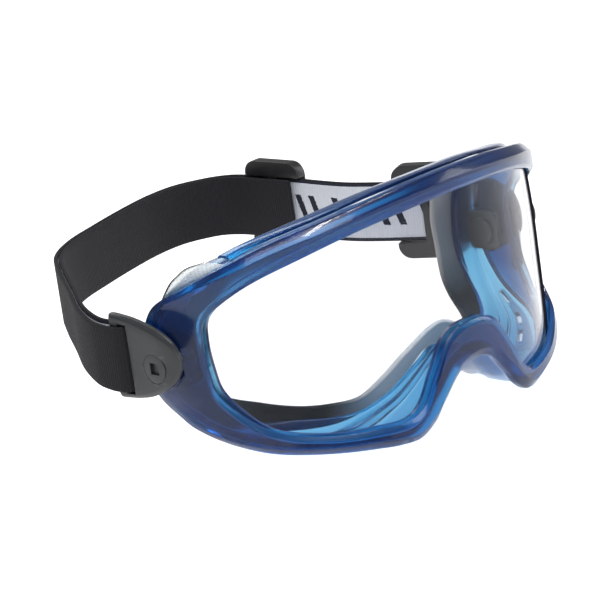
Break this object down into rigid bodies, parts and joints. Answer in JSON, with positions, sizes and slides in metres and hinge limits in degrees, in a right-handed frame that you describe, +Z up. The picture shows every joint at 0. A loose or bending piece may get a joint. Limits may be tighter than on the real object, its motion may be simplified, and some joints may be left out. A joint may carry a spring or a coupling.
{
  "type": "safety goggles",
  "caption": "Indirect-vent safety goggles: soft wrap-around frame with face seal, clear panoramic lens, swivelling side clips and an adjustable elastic head strap.",
  "frame": {"origin": "under the middle of the whole object, at the height of the lowest edge of the rim and the face flange", "axes": "+X to the wearer's left, +Y from the lens towards the back of the strap, +Z up"},
  "size_m": [0.1628, 0.1656, 0.0751],
  "materials": {
    "frame_blue": "glossy translucent soft plastic",
    "lens_clear": "polished clear polycarbonate",
    "seal_grey": "soft matt elastomer",
    "vent_screen": "perforated translucent film",
    "clip_slate": "fine-grained moulded plastic",
    "slider_black": "moulded plastic",
    "strap_black": "ribbed woven elastic, light patterned inner face"
  },
  "bodies": {
    "goggle_frame": {"frame_shell": "frame_blue", "lens": "lens_clear", "face_seal": "seal_grey", "top_vent_cover": "frame_blue", "top_vent_screen_right": "vent_screen", "top_vent_screen_left": "vent_screen", "lower_vent_screen_right": "vent_screen", "lower_vent_screen_left": "vent_screen", "pivot_stud_right": "clip_slate", "pivot_stud_left": "clip_slate", "stud_washer_right": "clip_slate", "stud_washer_left": "clip_slate"},
    "strap": {"strap_clip_right": "clip_slate", "strap_clip_left": "clip_slate", "strap_webbing": "strap_black"},
    "slider_right": {"strap_slider_right": "slider_black"},
    "slider_left": {"strap_slider_left": "slider_black"}
  },
  "joints": [
    {"name": "strap_swing", "type": "hinge", "parent": "goggle_frame", "child": "strap", "pos_m": [0, -0.0296, 0.0337], "axis": [1, 0, 0], "range_deg": [-30, 30]},
    {"name": "slider_right_slide", "type": "slide", "parent": "strap", "child": "slider_right", "axis": [0.0742, -0.9972, -0.0059], "range_m": [0, 0.007]},
    {"name": "slider_left_slide", "type": "slide", "parent": "strap", "child": "slider_left", "axis": [-0.4314, 0.9021, 0.0107], "range_m": [0, 0.007]}
  ]
}
